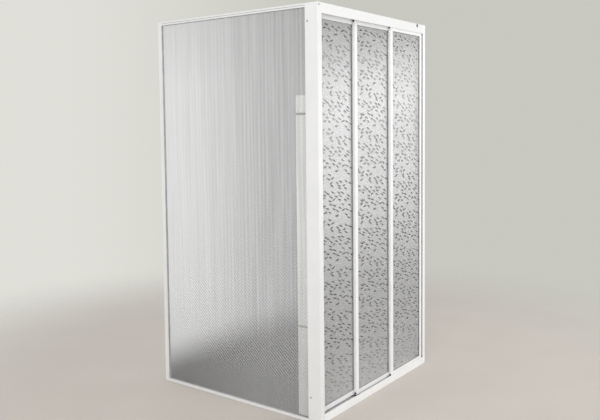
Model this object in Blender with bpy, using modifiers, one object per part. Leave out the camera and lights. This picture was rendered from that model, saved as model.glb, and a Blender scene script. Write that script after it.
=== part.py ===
"""Corner shower screen: one fixed glazed side, a corner post and three framed sliding panels.

The foot of the post's outer corner is the corner of the screen. The sliding side runs from
there along +X and the fixed side along +Y, each as far as a wall. Lengths are in metres.
"""

import math

import bmesh
import bpy
from mathutils import Matrix

# Overall sizes of the screen
SCREEN_HEIGHT = 1.830
DOOR_SIDE_WIDTH = 1.010
FIXED_SIDE_WIDTH = 0.970

# Fits that every piece uses
TOUCH_GAP = 0.0003
CUT_OVERRUN = 0.002
PROFILE_WALL = 0.0018
PROFILE_EDGE_RADIUS = 0.0006

# Fasteners: pan heads on plain shanks
SCREW_HEAD_RADIUS = 0.0038
SCREW_HEAD_HEIGHT = 0.0012
SCREW_SHANK_RADIUS = 0.0016

# Sliding panels and the planes that they run in, the third panel foremost
PANEL_COUNT = 3
PANEL_THICKNESS = 0.0115
PANEL_RUNNING_GAP = 0.0015
PANEL_FRONT_SETBACK = 0.004
PANEL_BACK_SETBACK = 0.0065
PANEL_OVERLAP = 0.022
PANEL_FLOOR_GAP = 0.030
STILE_WIDTH = 0.022
PANEL_TOP_RAIL_HEIGHT = 0.025
PANEL_BOTTOM_RAIL_HEIGHT = 0.022
PANEL_WALL = 0.0013
GLAZING_GROOVE_DEPTH = 0.008
PANEL_GLASS_THICKNESS = 0.004
PANEL_GLASS_COVER = 0.0065
GASKET_WRAP = 0.001
GASKET_LIP = 0.0012

# Room for the heads of the screws that hold the panel corners
CORNER_SCREW_HEAD_HEIGHT = 0.0026

# Rollers and hangers above each panel
WHEEL_RADIUS = 0.010
WHEEL_WIDTH = 0.005
WHEEL_EDGE = 0.0008
WHEEL_SIDE_GAP = 0.00045
WHEEL_TOP_GAP = 0.0032
WHEEL_BORE_GAP = 0.0003
AXLE_RADIUS = 0.0025
AXLE_HEAD_RADIUS = 0.004
AXLE_HEAD_THICKNESS = 0.001
HANGER_INSET = 0.080
HANGER_WIDTH = 0.024
HANGER_THICKNESS = 0.002
HANGER_FOOT_DEPTH = 0.0078
HANGER_TOP_MARGIN = 0.006
HANGER_LEDGE_GAP = 0.0014

# Nylon guides under the panels
GUIDE_LENGTH = 0.028
GUIDE_END_INSET = 0.001
GUIDE_DROP = 0.020
GUIDE_THICKNESS = 0.008
GUIDE_PEG_HEIGHT = 0.0045
GUIDE_CORNER_RADIUS = 0.003

# Header rail, with a lane and a ledge for each panel's rollers
HEADER_FASCIA_HEIGHT = 0.045
DIVIDER_THICKNESS = 0.0012
LEDGE_WIDTH = 0.006
LEDGE_THICKNESS = 0.002
PANEL_LIFT_GAP = 0.009

# Sill track
SILL_LIP_HEIGHT = 0.038
SILL_DIVIDER_HEIGHT = 0.024

# Corner post
POST_FIXED_FACE = 0.066
POST_DOOR_FACE = 0.032
POST_CORNER_RADIUS = 0.0015
POST_SCREW_EDGE = 0.014
POST_SCREW_FROM_TOP = 0.077
POST_SCREW_FROM_FLOOR = 0.113

# Wall jamb and seals of the sliding side
DOOR_JAMB_FACE = 0.026
POST_SEAL_THICKNESS = 0.005
JAMB_SEAL_PROUD = 0.0041
JAMB_SEAL_WALL = 0.0022
STOP_GAP = 0.0003

# Blocks that join the header rail to the post and to the jamb
LEFT_BLOCK_REACH = 0.015
RIGHT_BLOCK_REACH = 0.073
LEFT_BLOCK_SCREW = 0.012
RIGHT_BLOCK_SCREW_EDGE = 0.007
RIGHT_BLOCK_SCREW_HEAD_RADIUS = 0.0085
BLOCK_SCREW_FROM_TOP = 0.010
BLOCK_SCREW_LENGTH = 0.010

# Fixed side
FIXED_FRAME_DEPTH = 0.018
FIXED_TOP_RAIL_HEIGHT = 0.017
FIXED_BOTTOM_RAIL_HEIGHT = 0.0145
FIXED_JAMB_FACE = 0.024
FIXED_GLASS_THICKNESS = 0.005
FIXED_GLASS_COVER = 0.008
SETTING_BLOCK_LENGTH = 0.060
SETTING_BLOCK_INSET = 0.180

# Splash strip behind the fixed pane, beside the post
SPLASH_STRIP_HEIGHT = 1.440
SPLASH_STRIP_FOOT = 0.016
SPLASH_STRIP_EDGE = 0.130
SPLASH_STRIP_START = 0.050
SPLASH_STRIP_THICKNESS = 0.002
SPLASH_CLIP_HEIGHT = 0.010
SPLASH_CLIP_THICKNESS = 0.0022
SPLASH_UPPER_CLIP_DROP = 0.080
SPLASH_LOWER_CLIP_RISE = 0.420

# Holes for the wall fixings, in the webs of both jambs
WALL_HOLE_RADIUS = 0.0025
WALL_HOLE_INSET = 0.150

# Counts of facets
ARC_STEPS = 3
ROUND_STEPS = 24
SCREW_STEPS = 12
MERGE_DISTANCE = 0.00001
SHARP_EDGE_ANGLE = math.radians(40)

# Sizes worked out from those above
PANEL_PITCH = PANEL_THICKNESS + PANEL_RUNNING_GAP
DOOR_FRAME_DEPTH = (PANEL_FRONT_SETBACK + (PANEL_COUNT - 1) * PANEL_PITCH
                    + PANEL_THICKNESS + PANEL_BACK_SETBACK)
TRACK_DROP = PROFILE_WALL + WHEEL_TOP_GAP + 2 * WHEEL_RADIUS
AXLE_HEIGHT = SCREEN_HEIGHT - PROFILE_WALL - WHEEL_TOP_GAP - WHEEL_RADIUS
LEDGE_TOP = SCREEN_HEIGHT - TRACK_DROP - TOUCH_GAP
PANEL_TOP = SCREEN_HEIGHT - TRACK_DROP - LEDGE_THICKNESS - PANEL_LIFT_GAP
PANEL_HEIGHT = PANEL_TOP - PANEL_FLOOR_GAP
PANEL_LEFT_STOP = (PROFILE_WALL + TOUCH_GAP + POST_SEAL_THICKNESS
                   + STOP_GAP + CORNER_SCREW_HEAD_HEIGHT)
PANEL_RIGHT_STOP = (DOOR_SIDE_WIDTH - DOOR_JAMB_FACE - JAMB_SEAL_PROUD
                    - STOP_GAP - CORNER_SCREW_HEAD_HEIGHT)
PANEL_WIDTH = (PANEL_RIGHT_STOP - PANEL_LEFT_STOP
               + (PANEL_COUNT - 1) * PANEL_OVERLAP) / PANEL_COUNT
DIVIDER_FRONT = PANEL_THICKNESS + (PANEL_RUNNING_GAP - DIVIDER_THICKNESS) / 2
LEDGE_FRONT = DIVIDER_FRONT - LEDGE_WIDTH
HANGER_BACK = LEDGE_FRONT - HANGER_LEDGE_GAP
HANGER_FRONT = HANGER_BACK - HANGER_THICKNESS
WHEEL_MIDDLE = DIVIDER_FRONT - WHEEL_SIDE_GAP - WHEEL_WIDTH / 2
POST_SCREW_PLACE = POST_FIXED_FACE - POST_SCREW_EDGE
HEADER_START = POST_DOOR_FACE + TOUCH_GAP
HEADER_END = DOOR_SIDE_WIDTH - DOOR_JAMB_FACE - TOUCH_GAP

# Turns that stand a drawn outline upright across X or across Y
ACROSS_X = (math.pi / 2, 0, math.pi / 2)
ACROSS_Y = (math.pi / 2, 0, 0)


def clear_scene():
    """Remove every object of the start-up scene."""
    for thing in list(bpy.data.objects):
        bpy.data.objects.remove(thing, do_unlink=True)


def new_collection(name):
    """Make a collection that hangs under the scene."""
    collection = bpy.data.collections.new(name)
    bpy.context.scene.collection.children.link(collection)
    return collection


def finish(name, colour, roughness, metallic):
    """Make a plain Principled material."""
    material = bpy.data.materials.new(name)
    material.use_nodes = True
    shader = material.node_tree.nodes["Principled BSDF"]
    shader.inputs["Base Color"].default_value = (*colour, 1.0)
    shader.inputs["Roughness"].default_value = roughness
    shader.inputs["Metallic"].default_value = metallic
    return material


def add_object(name, mesh, place, parent, collection, turn=(0, 0, 0)):
    """Put a mesh into the model under its own name."""
    thing = bpy.data.objects.new(name, mesh)
    thing.location = place
    thing.rotation_euler = turn
    thing.parent = parent
    collection.objects.link(thing)
    return thing


def dress(thing, material):
    """Give an object a material of its own."""
    own = material.copy()
    own.name = thing.name + "_finish"
    thing.data.materials.clear()
    thing.data.materials.append(own)
    return thing


def rounded(corners):
    """Turn (x, y, radius) square corners into outline points, each radius as a short arc."""
    points = []
    for number, (x, y, radius) in enumerate(corners):
        if radius == 0:
            points.append((x, y))
            continue
        before = corners[number - 1]
        after = corners[(number + 1) % len(corners)]
        start = math.atan2(before[1] - y, before[0] - x)
        end = math.atan2(after[1] - y, after[0] - x)
        middle_x = x + radius * (math.cos(start) + math.cos(end))
        middle_y = y + radius * (math.sin(start) + math.sin(end))
        sweep = (start - end + math.pi) % (2 * math.pi) - math.pi
        for step in range(ARC_STEPS + 1):
            angle = end + math.pi + sweep * step / ARC_STEPS
            points.append((middle_x + radius * math.cos(angle),
                           middle_y + radius * math.sin(angle)))
    return points


def plain(corners):
    """Read an outline of sharp corners."""
    return [(x, y, 0) for x, y in corners]


def extruded_mesh(name, outlines, length):
    """Fill flat outlines, one inside another for a hole, and extrude them both ways."""
    curve = bpy.data.curves.new(name, "CURVE")
    curve.dimensions = "2D"
    curve.fill_mode = "BOTH"
    curve.extrude = length / 2
    for corners in outlines:
        points = rounded(corners)
        spline = curve.splines.new("POLY")
        spline.points.add(len(points) - 1)
        for point, (x, y) in zip(spline.points, points):
            point.co = (x, y, 0, 1)
        spline.use_cyclic_u = True
    drawn = bpy.data.objects.new(name + "_outline", curve)
    bpy.context.scene.collection.objects.link(drawn)
    return settled_mesh(name, drawn)


def settled_mesh(name, drawn):
    """Replace a drawn object by the closed mesh that it evaluates to."""
    bpy.context.view_layer.update()
    evaluated = drawn.evaluated_get(bpy.context.evaluated_depsgraph_get())
    mesh = bpy.data.meshes.new_from_object(evaluated)
    mesh.name = name
    bpy.data.objects.remove(drawn, do_unlink=True)
    work = bmesh.new()
    work.from_mesh(mesh)
    bmesh.ops.remove_doubles(work, verts=work.verts, dist=MERGE_DISTANCE)
    bmesh.ops.recalc_face_normals(work, faces=work.faces)
    work.to_mesh(mesh)
    work.free()
    return mesh


def box_mesh(name, size_x, size_y, size_z):
    """A box about its own middle."""
    mesh = bpy.data.meshes.new(name)
    work = bmesh.new()
    bmesh.ops.create_cube(work, size=1.0, matrix=Matrix.Diagonal((size_x, size_y, size_z, 1)))
    work.to_mesh(mesh)
    work.free()
    return mesh


def rod_mesh(name, radius, length, turn=(0, 0, 0)):
    """A cylinder about its own middle, along Z until it is turned."""
    mesh = bpy.data.meshes.new(name)
    work = bmesh.new()
    bmesh.ops.create_cone(work, cap_ends=True, segments=ROUND_STEPS,
                          radius1=radius, radius2=radius, depth=length)
    work.to_mesh(mesh)
    work.free()
    mesh.transform(turned(turn))
    return mesh


def turned(angles):
    """The matrix of three turns, X first."""
    return (Matrix.Rotation(angles[2], 4, "Z") @ Matrix.Rotation(angles[1], 4, "Y")
            @ Matrix.Rotation(angles[0], 4, "X"))


def lathe_mesh(name, profile, steps, closed=False):
    """Turn a (radius, height) profile about Z; its outer side runs downwards."""
    mesh = bpy.data.meshes.new(name + "_profile")
    edges = [(number, number + 1) for number in range(len(profile) - 1)]
    if closed:
        edges.append((len(profile) - 1, 0))
    mesh.from_pydata([(radius, 0, height) for radius, height in profile], edges, [])
    drawn = bpy.data.objects.new(name + "_profile", mesh)
    bpy.context.scene.collection.objects.link(drawn)
    turn = drawn.modifiers.new("turn", "SCREW")
    turn.steps = steps
    turn.render_steps = steps
    turn.use_merge_vertices = True
    turn.merge_threshold = MERGE_DISTANCE
    return settled_mesh(name, drawn)


def screw_mesh(name, head_radius, head_height, length):
    """A pan head above Z = 0 on a shank below it."""
    shoulder_share = 0.55
    crown_share = 0.65
    return lathe_mesh(name, [
        (0, head_height),
        (head_radius * crown_share, head_height),
        (head_radius, head_height * shoulder_share),
        (head_radius, TOUCH_GAP),
        (SCREW_SHANK_RADIUS, TOUCH_GAP),
        (SCREW_SHANK_RADIUS, -length),
        (0, -length),
    ], SCREW_STEPS)


def joined_mesh(name, placed):
    """One mesh that holds several (mesh, matrix) pairs as separate bodies."""
    work = bmesh.new()
    for mesh, matrix in placed:
        copy = mesh.copy()
        copy.transform(matrix)
        work.from_mesh(copy)
        bpy.data.meshes.remove(copy)
    result = bpy.data.meshes.new(name)
    work.to_mesh(result)
    work.free()
    return result


def copies_mesh(name, mesh, matrices):
    """One mesh that holds a copy of another at each of several places."""
    return joined_mesh(name, [(mesh, matrix) for matrix in matrices])


def smooth(thing):
    """Shade a round piece smooth across its facets but not over its edges."""
    thing.data.shade_smooth()
    thing.data.set_sharp_from_angle(angle=SHARP_EDGE_ANGLE)
    return thing


def combine(thing, operation, mesh, place, parent, cutters, solver="EXACT"):
    """Take a shape out of a piece, or add it to the piece, with a Boolean."""
    tool = add_object(thing.name + "_" + operation.lower(), mesh, place, parent, cutters)
    tool.hide_render = True
    tool.display_type = "WIRE"
    change = thing.modifiers.new(operation.lower(), "BOOLEAN")
    change.operation = operation
    change.solver = solver
    change.object = tool
    return thing


def cut(thing, mesh, place, parent, cutters, solver="EXACT"):
    """Take a shape out of a piece."""
    return combine(thing, "DIFFERENCE", mesh, place, parent, cutters, solver)


def at(x, y, z, turn=(0, 0, 0)):
    """The matrix of a place and a turn."""
    return Matrix.Translation((x, y, z)) @ turned(turn)


# Turns that point a screw, drawn with its head up, along an axis
HEAD_TO_MINUS_X = (0, -math.pi / 2, 0)
HEAD_TO_PLUS_X = (0, math.pi / 2, 0)
HEAD_TO_MINUS_Y = (math.pi / 2, 0, 0)


def lane_front(panel):
    """The front plane of a panel: the last panel runs foremost."""
    return PANEL_FRONT_SETBACK + (PANEL_COUNT - panel) * PANEL_PITCH


def panel_left(panel):
    """Where a panel's left edge stands with the screen shut."""
    return PANEL_LEFT_STOP + (panel - 1) * (PANEL_WIDTH - PANEL_OVERLAP)


def divider_places():
    """Front faces of the dividers between the lanes, front to back."""
    return [lane_front(panel) + DIVIDER_FRONT for panel in range(PANEL_COUNT, 1, -1)]


def make_corner_post(kit):
    """Extruded post: a deep channel for the panels and a narrow one for the fixed pane."""
    wall = PROFILE_WALL
    depth = DOOR_FRAME_DEPTH
    inner = FIXED_FRAME_DEPTH
    edge = PROFILE_EDGE_RADIUS
    outline = [
        (0, 0, POST_CORNER_RADIUS),
        (POST_DOOR_FACE, 0, edge),
        (POST_DOOR_FACE, wall, edge),
        (wall, wall, 0),
        (wall, depth - wall, 0),
        (POST_DOOR_FACE, depth - wall, edge),
        (POST_DOOR_FACE, depth, edge),
        (inner, depth, 0),
        (inner, POST_FIXED_FACE, edge),
        (inner - wall, POST_FIXED_FACE, edge),
        (inner - wall, depth, 0),
        (wall, depth, 0),
        (wall, POST_FIXED_FACE, edge),
        (0, POST_FIXED_FACE, edge),
    ]
    post = add_object("corner_post", extruded_mesh("corner_post", [outline], SCREEN_HEIGHT),
                      (0, 0, SCREEN_HEIGHT / 2), kit["origin"], kit["parts"])
    hole_radius = SCREW_SHANK_RADIUS + TOUCH_GAP
    hole_length = 2 * (PROFILE_WALL + CUT_OVERRUN)
    side_hole = rod_mesh("side_hole", hole_radius, hole_length, HEAD_TO_PLUS_X)
    front_hole = rod_mesh("front_hole", hole_radius, hole_length, HEAD_TO_MINUS_Y)
    holes = [(side_hole, at(0, POST_SCREW_PLACE, height)) for height in post_screw_heights()]
    holes.append((front_hole, at(LEFT_BLOCK_SCREW, 0, SCREEN_HEIGHT - BLOCK_SCREW_FROM_TOP)))
    holes += [(side_hole, at(inner, splash_screw_place(), height))
              for height in splash_clip_heights()]
    cut(post, joined_mesh("corner_post_holes", holes), (0, 0, 0), kit["origin"], kit["cutters"])
    return dress(post, kit["white"])


def post_screw_heights():
    """Heights of the two screws on the post's fixed-side face."""
    return (POST_SCREW_FROM_FLOOR, SCREEN_HEIGHT - POST_SCREW_FROM_TOP)


def splash_screw_place():
    """Half way along the post's inner flange, where the splash strip is screwed on."""
    return (DOOR_FRAME_DEPTH + POST_FIXED_FACE) / 2


def splash_clip_heights():
    """Heights of the strip's lower and upper clips."""
    return (SPLASH_LOWER_CLIP_RISE, SPLASH_STRIP_HEIGHT - SPLASH_UPPER_CLIP_DROP)


def make_header_rail(kit):
    """Extruded header: a fascia, and a lane with a roller ledge for each panel."""
    top = SCREEN_HEIGHT
    wall = PROFILE_WALL
    edge = PROFILE_EDGE_RADIUS
    fascia_foot = top - HEADER_FASCIA_HEIGHT
    ledge_foot = LEDGE_TOP - LEDGE_THICKNESS
    outline = [
        (0, fascia_foot, edge),
        (0, top, edge),
        (DOOR_FRAME_DEPTH, top, edge),
        (DOOR_FRAME_DEPTH, fascia_foot, edge),
        (DOOR_FRAME_DEPTH - wall, fascia_foot, edge),
    ]
    backs = divider_places() + [DOOR_FRAME_DEPTH - wall]
    for panel in range(1, PANEL_COUNT + 1):
        back = backs[PANEL_COUNT - panel]
        front = lane_front(panel) + LEDGE_FRONT
        if panel > 1:
            outline.append((back + DIVIDER_THICKNESS, top - wall, 0))
            outline.append((back + DIVIDER_THICKNESS, ledge_foot, 0))
        else:
            outline.append((back, ledge_foot, 0))
        outline.append((front, ledge_foot, 0))
        outline.append((front, LEDGE_TOP, 0))
        outline.append((back, LEDGE_TOP, 0))
        outline.append((back, top - wall, 0))
    outline.append((wall, top - wall, 0))
    outline.append((wall, fascia_foot, edge))
    length = HEADER_END - HEADER_START
    rail = add_object("header_rail", extruded_mesh("header_rail", [outline], length),
                      ((HEADER_START + HEADER_END) / 2, 0, 0), kit["origin"], kit["parts"], ACROSS_X)
    hole = rod_mesh("header_rail_hole", SCREW_SHANK_RADIUS + TOUCH_GAP,
                    2 * (PROFILE_WALL + CUT_OVERRUN), HEAD_TO_MINUS_Y)
    cut(rail, hole, (right_block_screw(), 0, SCREEN_HEIGHT - BLOCK_SCREW_FROM_TOP),
        kit["origin"], kit["cutters"])
    return dress(rail, kit["white"])


def make_sill_track(kit):
    """Extruded sill: a front lip, a back wall and dividers that part the guides' lanes."""
    wall = PROFILE_WALL
    edge = PROFILE_EDGE_RADIUS
    depth = DOOR_FRAME_DEPTH
    outline = [
        (0, 0, edge),
        (0, SILL_LIP_HEIGHT, edge),
        (wall, SILL_LIP_HEIGHT, edge),
        (wall, wall, 0),
    ]
    for front in divider_places():
        outline.append((front, wall, 0))
        outline.append((front, SILL_DIVIDER_HEIGHT, 0))
        outline.append((front + DIVIDER_THICKNESS, SILL_DIVIDER_HEIGHT, 0))
        outline.append((front + DIVIDER_THICKNESS, wall, 0))
    outline += [
        (depth - wall, wall, 0),
        (depth - wall, SILL_LIP_HEIGHT, edge),
        (depth, SILL_LIP_HEIGHT, edge),
        (depth, 0, edge),
    ]
    length = HEADER_END - HEADER_START
    sill = add_object("sill_track", extruded_mesh("sill_track", [outline], length),
                      ((HEADER_START + HEADER_END) / 2, 0, 0), kit["origin"], kit["parts"], ACROSS_X)
    return dress(sill, kit["white"])


def channel_outline(width, depth, wall, edge):
    """A channel on its back: its web along Y = 0 and its open side upwards."""
    return [
        (0, 0, edge),
        (0, depth, edge),
        (wall, depth, edge),
        (wall, wall, 0),
        (width - wall, wall, 0),
        (width - wall, depth, edge),
        (width, depth, edge),
        (width, 0, edge),
    ]


def wall_hole_heights():
    """Heights of the holes for the wall fixings."""
    return (WALL_HOLE_INSET, SCREEN_HEIGHT / 2, SCREEN_HEIGHT - WALL_HOLE_INSET)


def make_door_wall_jamb(kit):
    """Channel on the wall at the end of the sliding side."""
    outline = [
        (DOOR_SIDE_WIDTH - y, x, radius)
        for x, y, radius in channel_outline(DOOR_FRAME_DEPTH, DOOR_JAMB_FACE, PROFILE_WALL,
                                            PROFILE_EDGE_RADIUS)
    ]
    jamb = add_object("door_wall_jamb", extruded_mesh("door_wall_jamb", [outline], SCREEN_HEIGHT),
                      (0, 0, SCREEN_HEIGHT / 2), kit["origin"], kit["parts"])
    hole = rod_mesh("hole", WALL_HOLE_RADIUS, 2 * (PROFILE_WALL + CUT_OVERRUN), HEAD_TO_PLUS_X)
    places = [at(DOOR_SIDE_WIDTH, DOOR_FRAME_DEPTH / 2, height) for height in wall_hole_heights()]
    cut(jamb, copies_mesh("door_wall_jamb_holes", hole, places), (0, 0, 0),
        kit["origin"], kit["cutters"])
    return dress(jamb, kit["white"])


def make_seals(kit):
    """Rubber strips that the panels shut against, in the post and in the wall jamb."""
    near = PROFILE_WALL + TOUCH_GAP
    far = DOOR_FRAME_DEPTH - near
    seal_top = SCREEN_HEIGHT - TRACK_DROP - TOUCH_GAP
    seal_height = seal_top - TOUCH_GAP
    seal_middle = (seal_top + TOUCH_GAP) / 2
    post_seal = add_object("post_door_seal",
                           box_mesh("post_door_seal", POST_SEAL_THICKNESS, far - near, seal_height),
                           (near + POST_SEAL_THICKNESS / 2, (near + far) / 2, seal_middle),
                           kit["origin"], kit["parts"])
    dress(post_seal, kit["rubber"])
    face = DOOR_SIDE_WIDTH - DOOR_JAMB_FACE - JAMB_SEAL_PROUD
    back = DOOR_SIDE_WIDTH - near
    outline = plain([
        (face, near),
        (face, far),
        (back, far),
        (back, far - JAMB_SEAL_WALL),
        (face + JAMB_SEAL_WALL, far - JAMB_SEAL_WALL),
        (face + JAMB_SEAL_WALL, near + JAMB_SEAL_WALL),
        (back, near + JAMB_SEAL_WALL),
        (back, near),
    ])
    seal_foot = SILL_LIP_HEIGHT + TOUCH_GAP
    jamb_seal_top = SCREEN_HEIGHT - HEADER_FASCIA_HEIGHT - TOUCH_GAP
    jamb_seal = add_object("jamb_door_seal",
                           extruded_mesh("jamb_door_seal", [outline], jamb_seal_top - seal_foot),
                           (0, 0, (jamb_seal_top + seal_foot) / 2), kit["origin"], kit["parts"])
    return dress(jamb_seal, kit["rubber"])


def right_block_start():
    """Where the block at the jamb end of the header begins."""
    return DOOR_SIDE_WIDTH - DOOR_JAMB_FACE - RIGHT_BLOCK_REACH


def right_block_screw():
    """Where the screw stands that holds the block at the jamb end."""
    return right_block_start() + RIGHT_BLOCK_SCREW_EDGE


def make_header_blocks(kit):
    """Blocks in the header's front lane that join it to the post and to the jamb."""
    near = PROFILE_WALL + TOUCH_GAP
    front_lane_back = divider_places()[0] - TOUCH_GAP
    foot = LEDGE_TOP + TOUCH_GAP
    height = SCREEN_HEIGHT - PROFILE_WALL - TOUCH_GAP - foot
    middle_y = (near + front_lane_back) / 2
    spans = [
        ("header_left", (near, POST_DOOR_FACE + LEFT_BLOCK_REACH), LEFT_BLOCK_SCREW,
         SCREW_HEAD_RADIUS),
        ("header_right", (right_block_start(), DOOR_SIDE_WIDTH - near), right_block_screw(),
         RIGHT_BLOCK_SCREW_HEAD_RADIUS),
    ]
    screw_height = SCREEN_HEIGHT - BLOCK_SCREW_FROM_TOP
    hole_depth = BLOCK_SCREW_LENGTH + TOUCH_GAP + CUT_OVERRUN
    for name, (start, end), screw_x, head_radius in spans:
        block = add_object(name + "_block",
                           box_mesh(name + "_block", end - start, front_lane_back - near, height),
                           ((start + end) / 2, middle_y, foot + height / 2),
                           kit["origin"], kit["parts"])
        hole = rod_mesh("hole", SCREW_SHANK_RADIUS + TOUCH_GAP, hole_depth, HEAD_TO_MINUS_Y)
        cut(block, hole, (screw_x, hole_depth / 2 - CUT_OVERRUN, screw_height),
            kit["origin"], kit["cutters"])
        dress(block, kit["white_plastic"])
        screw = add_object(name + "_screw",
                           screw_mesh(name + "_screw", head_radius, SCREW_HEAD_HEIGHT,
                                      BLOCK_SCREW_LENGTH),
                           (screw_x, 0, screw_height), kit["origin"], kit["parts"],
                           HEAD_TO_MINUS_Y)
        dress(smooth(screw), kit["steel"])


def fixed_rail_span():
    """Start and end of the rails between the post and the wall jamb."""
    return (POST_FIXED_FACE + TOUCH_GAP, FIXED_SIDE_WIDTH - FIXED_JAMB_FACE - TOUCH_GAP)


def make_fixed_frame(kit):
    """The rails over and under the fixed pane, and the channel that holds it at the wall."""
    wall = PROFILE_WALL
    edge = PROFILE_EDGE_RADIUS
    depth = FIXED_FRAME_DEPTH
    start, end = fixed_rail_span()
    top_outline = [
        (x, SCREEN_HEIGHT - y, radius)
        for x, y, radius in channel_outline(depth, FIXED_TOP_RAIL_HEIGHT, wall, edge)
    ]
    top_rail = add_object("fixed_top_rail",
                          extruded_mesh("fixed_top_rail", [top_outline], end - start),
                          (0, (start + end) / 2, 0), kit["origin"], kit["parts"], ACROSS_Y)
    dress(top_rail, kit["white"])
    bottom_outline = channel_outline(depth, FIXED_BOTTOM_RAIL_HEIGHT, wall, edge)
    bottom_rail = add_object("fixed_bottom_rail",
                             extruded_mesh("fixed_bottom_rail", [bottom_outline], end - start),
                             (0, (start + end) / 2, 0), kit["origin"], kit["parts"], ACROSS_Y)
    dress(bottom_rail, kit["white"])
    jamb_outline = [
        (x, FIXED_SIDE_WIDTH - y, radius)
        for x, y, radius in channel_outline(depth, FIXED_JAMB_FACE, wall, edge)
    ]
    jamb = add_object("fixed_wall_jamb",
                      extruded_mesh("fixed_wall_jamb", [jamb_outline], SCREEN_HEIGHT),
                      (0, 0, SCREEN_HEIGHT / 2), kit["origin"], kit["parts"])
    hole = rod_mesh("hole", WALL_HOLE_RADIUS, 2 * (PROFILE_WALL + CUT_OVERRUN), HEAD_TO_MINUS_Y)
    places = [at(depth / 2, FIXED_SIDE_WIDTH, height) for height in wall_hole_heights()]
    cut(jamb, copies_mesh("fixed_wall_jamb_holes", hole, places), (0, 0, 0),
        kit["origin"], kit["cutters"])
    return dress(jamb, kit["white"])


def ring_outlines(outer, inner):
    """The two rectangles of a flat frame, each as (left, foot, right, top)."""
    return [
        plain([(left, foot), (right, foot), (right, top), (left, top)])
        for left, foot, right, top in (outer, inner)
    ]


def make_fixed_glazing(kit):
    """The fixed pane, the rubber round its edge and the blocks that it stands on."""
    middle_x = FIXED_FRAME_DEPTH / 2
    left = POST_FIXED_FACE - FIXED_GLASS_COVER
    right = FIXED_SIDE_WIDTH - FIXED_JAMB_FACE + FIXED_GLASS_COVER
    foot = FIXED_BOTTOM_RAIL_HEIGHT - FIXED_GLASS_COVER
    top = SCREEN_HEIGHT - FIXED_TOP_RAIL_HEIGHT + FIXED_GLASS_COVER
    middle = (middle_x, (left + right) / 2, (foot + top) / 2)
    pane = add_object("fixed_glass",
                      box_mesh("fixed_glass", FIXED_GLASS_THICKNESS, right - left, top - foot),
                      middle, kit["origin"], kit["parts"])
    dress(pane, kit["fixed_glass"])
    outer = (left - GASKET_WRAP, foot - GASKET_WRAP, right + GASKET_WRAP, top + GASKET_WRAP)
    inner = (POST_FIXED_FACE + GASKET_LIP, FIXED_BOTTOM_RAIL_HEIGHT + GASKET_LIP,
             FIXED_SIDE_WIDTH - FIXED_JAMB_FACE - GASKET_LIP,
             SCREEN_HEIGHT - FIXED_TOP_RAIL_HEIGHT - GASKET_LIP)
    thickness = FIXED_FRAME_DEPTH - 2 * (PROFILE_WALL + TOUCH_GAP)
    gasket = add_object("fixed_gasket",
                        extruded_mesh("fixed_gasket", ring_outlines(outer, inner), thickness),
                        (middle_x, 0, 0), kit["origin"], kit["parts"], ACROSS_X)
    slot = box_mesh("fixed_gasket_slot", FIXED_GLASS_THICKNESS + 2 * TOUCH_GAP,
                    right - left + 2 * TOUCH_GAP, top - foot + 2 * TOUCH_GAP)
    cut(gasket, slot, middle, kit["origin"], kit["cutters"])
    dress(gasket, kit["rubber"])
    block_foot = PROFILE_WALL + TOUCH_GAP
    block_top = foot - GASKET_WRAP - TOUCH_GAP
    places = (("post", left + SETTING_BLOCK_INSET), ("wall", right - SETTING_BLOCK_INSET))
    for end, place in places:
        name = "setting_block_" + end
        block = add_object(name,
                           box_mesh(name, thickness, SETTING_BLOCK_LENGTH, block_top - block_foot),
                           (middle_x, place, (block_foot + block_top) / 2),
                           kit["origin"], kit["parts"])
        dress(block, kit["rubber"])


def make_post_screws(kit):
    """Two screws through the post's outer face that tie the flanges of its glass channel."""
    length = FIXED_FRAME_DEPTH - PROFILE_WALL - TOUCH_GAP
    for level, height in zip(("lower", "upper"), post_screw_heights()):
        name = "post_" + level + "_screw"
        screw = add_object(name, screw_mesh(name, SCREW_HEAD_RADIUS, SCREW_HEAD_HEIGHT, length),
                           (0, POST_SCREW_PLACE, height), kit["origin"], kit["parts"],
                           HEAD_TO_MINUS_X)
        dress(smooth(screw), kit["steel"])


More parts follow.
